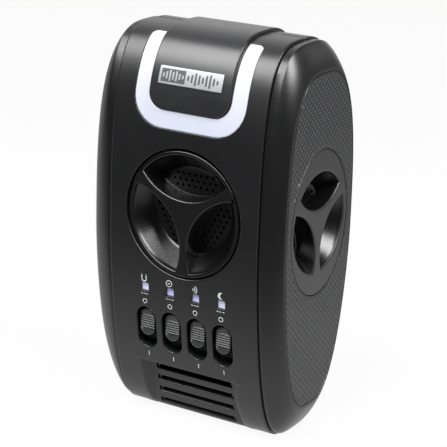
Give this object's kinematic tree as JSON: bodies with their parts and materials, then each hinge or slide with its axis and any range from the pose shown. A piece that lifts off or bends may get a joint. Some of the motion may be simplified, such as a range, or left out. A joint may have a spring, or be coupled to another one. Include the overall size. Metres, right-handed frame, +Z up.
{
  "type": "ultrasonic pest repeller",
  "caption": "Plug-in ultrasonic pest repeller with a barrel-shaped case, lobed round speaker grilles, a U-shaped night light, slide switches and a louvred vent.",
  "frame": {"origin": "centre of the face of the plug base that seats on the wall outlet, between the two blades", "axes": "+Z up, +Y into the wall along the plug blades, -Y is the front, +X to the right seen from the front"},
  "size_m": [0.0812, 0.0727, 0.1512],
  "materials": {
    "case_plastic": "satin black moulded ABS with a faint spark texture",
    "cap_plastic": "satin black moulded ABS, fine diamond texture on the flat side",
    "brow_plastic": "smoother semi-gloss black ABS",
    "nameplate_metal": "brushed silver foil plate with a plain printed motif",
    "light_diffuser": "milky white polycarbonate, lit from behind",
    "grille_plastic": "satin black ABS, glossy on the pocket walls",
    "knob_plastic": "dark grey ribbed ABS",
    "indicator_lens": "pale violet translucent light pipe",
    "plug_plastic": "black flame-retardant moulding",
    "blade_metal": "nickel-plated brass",
    "switch_plastic": "black moulded switch housing",
    "screw_steel": "zinc-plated steel",
    "circuit_board": "dark green solder resist",
    "light_board": "white solder resist",
    "led_body": "white package with phosphor",
    "transducer_metal": "pressed can around a piezo disc",
    "ferrite": "dull grey sintered ferrite",
    "copper_wire": "enamelled copper winding",
    "capacitor_sleeve": "printed shrink sleeve without text",
    "black_epoxy": "black moulded epoxy",
    "fuse_body": "ceramic tube with metal end caps",
    "module_potting": "black potted box",
    "lead_red": "red insulated lead",
    "lead_blue": "blue insulated lead",
    "lead_black": "black insulated lead"
  },
  "bodies": {
    "case": {"front_cover": "case_plastic", "rear_cover": "case_plastic", "side_cap_left": "cap_plastic", "side_cap_right": "cap_plastic", "brow_panel": "brow_plastic", "nameplate": "nameplate_metal", "night_light_strip": "light_diffuser", "front_grille": "grille_plastic", "side_grille_left": "grille_plastic", "side_grille_right": "grille_plastic", "indicator_lens_1": "indicator_lens", "indicator_lens_2": "indicator_lens", "indicator_lens_3": "indicator_lens", "indicator_lens_4": "indicator_lens", "switch_body_1": "switch_plastic", "switch_body_2": "switch_plastic", "switch_body_3": "switch_plastic", "switch_body_4": "switch_plastic", "main_board": "circuit_board", "indicator_leds": "led_body", "night_light_board": "light_board", "night_light_leds": "led_body", "front_transducer": "transducer_metal", "side_transducer_left": "transducer_metal", "side_transducer_right": "transducer_metal", "power_board": "circuit_board", "transformer_core": "ferrite", "transformer_winding": "copper_wire", "smoothing_capacitor": "capacitor_sleeve", "bridge_rectifier": "black_epoxy", "fuse": "fuse_body", "field_coil_core": "ferrite", "field_coil_winding": "copper_wire", "ion_module": "module_potting", "ion_brush": "black_epoxy", "plug_base": "plug_plastic", "plug_blade_left": "blade_metal", "plug_blade_right": "blade_metal", "mains_leads": "lead_red", "board_leads": "lead_blue", "transducer_leads": "lead_black", "case_screws": "screw_steel", "main_board_screws": "screw_steel", "power_board_screws": "screw_steel"},
    "switch_1": {"switch_knob_1": "knob_plastic", "switch_slider_1": "black_epoxy"},
    "switch_2": {"switch_knob_2": "knob_plastic", "switch_slider_2": "black_epoxy"},
    "switch_3": {"switch_knob_3": "knob_plastic", "switch_slider_3": "black_epoxy"},
    "switch_4": {"switch_knob_4": "knob_plastic", "switch_slider_4": "black_epoxy"}
  },
  "joints": [
    {"name": "field_switch_slide", "type": "slide", "parent": "case", "child": "switch_1", "axis": [0, 0, -1], "range_m": [0, 0.004]},
    {"name": "ion_switch_slide", "type": "slide", "parent": "case", "child": "switch_2", "axis": [0, 0, -1], "range_m": [0, 0.004]},
    {"name": "sound_switch_slide", "type": "slide", "parent": "case", "child": "switch_3", "axis": [0, 0, -1], "range_m": [0, 0.004]},
    {"name": "night_light_switch_slide", "type": "slide", "parent": "case", "child": "switch_4", "axis": [0, 0, -1], "range_m": [0, 0.004]}
  ]
}
